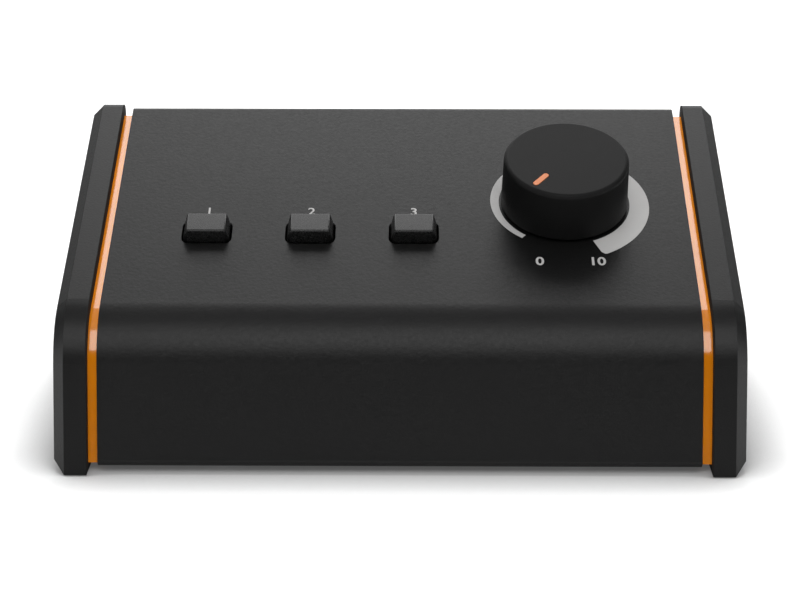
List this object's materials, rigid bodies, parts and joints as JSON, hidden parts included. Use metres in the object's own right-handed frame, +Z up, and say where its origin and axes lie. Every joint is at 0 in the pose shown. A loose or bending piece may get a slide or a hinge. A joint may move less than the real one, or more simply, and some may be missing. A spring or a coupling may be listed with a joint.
{
  "type": "studio monitor controller",
  "caption": "Sloped desktop studio monitor controller with black sheet sleeve, chamfered cheeks, orange spacers, a large level knob and latching push buttons.",
  "frame": {"origin": "on the table, under the middle of the bounding box", "axes": "+X to the right along the width as the user sees it, +Y to the rear, +Z up"},
  "size_m": [0.15, 0.0874, 0.0654],
  "materials": {
    "sleeve_paint": "fine satin powder coat, black",
    "cheek_paint": "satin black",
    "spacer_orange": "polished orange",
    "knob_black": "satin black",
    "pointer_orange": "orange paint",
    "cap_black": "satin black",
    "switch_plastic": "moulded",
    "plunger_plastic": "moulded",
    "zinc_steel": "zinc plated",
    "chassis_steel": "zinc plated sheet",
    "nut_nickel": "nickel plated",
    "bush_brass": "turned",
    "wafer_board": "phenolic board",
    "board_green": "solder resist",
    "resistor_blue": "lacquered",
    "socket_black": "moulded",
    "ribbon_grey": "ribbed insulation",
    "foot_rubber": "matt"
  },
  "bodies": {
    "case": {"sleeve": "sleeve_paint", "chassis": "chassis_steel", "left_cheek": "cheek_paint", "right_cheek": "cheek_paint", "left_spacer": "spacer_orange", "right_spacer": "spacer_orange", "pot_bush": "bush_brass", "pot_housing": "zinc_steel", "pot_wafer": "wafer_board", "pot_terminals": "zinc_steel", "pot_washer": "zinc_steel", "pot_nut": "nut_nickel", "switch_left": "switch_plastic", "switch_middle": "switch_plastic", "switch_right": "switch_plastic", "switch_pins": "zinc_steel", "control_board": "board_green", "control_pillars": "zinc_steel", "control_screws": "zinc_steel", "resistors": "resistor_blue", "jack_board": "board_green", "jack_pillars": "zinc_steel", "jack_board_screws": "zinc_steel", "input_jack_left": "socket_black", "input_jack_right": "socket_black", "output_jack_left": "socket_black", "output_jack_right": "socket_black", "mini_jack": "socket_black", "jack_nuts": "nut_nickel", "mini_jack_nut": "nut_nickel", "jack_pins": "zinc_steel", "ribbon_cable": "ribbon_grey", "ribbon_headers": "socket_black", "cheek_screws": "zinc_steel", "floor_screws": "zinc_steel", "feet": "foot_rubber"},
    "knob": {"level_knob": "knob_black", "knob_pointer": "pointer_orange", "pot_shaft": "zinc_steel", "pot_rotor": "bush_brass"},
    "left_button": {"button_cap_left": "cap_black", "plunger_left": "plunger_plastic"},
    "middle_button": {"button_cap_middle": "cap_black", "plunger_middle": "plunger_plastic"},
    "right_button": {"button_cap_right": "cap_black", "plunger_right": "plunger_plastic"}
  },
  "joints": [
    {"name": "level_turn", "type": "hinge", "parent": "case", "child": "knob", "pos_m": [0.0374, 0.0046, 0.04842], "axis": [0, 0.3907, -0.9205], "range_deg": [0, 300]},
    {"name": "left_press", "type": "slide", "parent": "case", "child": "left_button", "axis": [0, 0.3907, -0.9205], "range_m": [0, 0.0022], "stiffness_N_per_m": 400, "springref_m": -0.001},
    {"name": "middle_press", "type": "slide", "parent": "case", "child": "middle_button", "axis": [0, 0.3907, -0.9205], "range_m": [0, 0.0022], "stiffness_N_per_m": 400, "springref_m": -0.001},
    {"name": "right_press", "type": "slide", "parent": "case", "child": "right_button", "axis": [0, 0.3907, -0.9205], "range_m": [0, 0.0022], "stiffness_N_per_m": 400, "springref_m": -0.001}
  ]
}
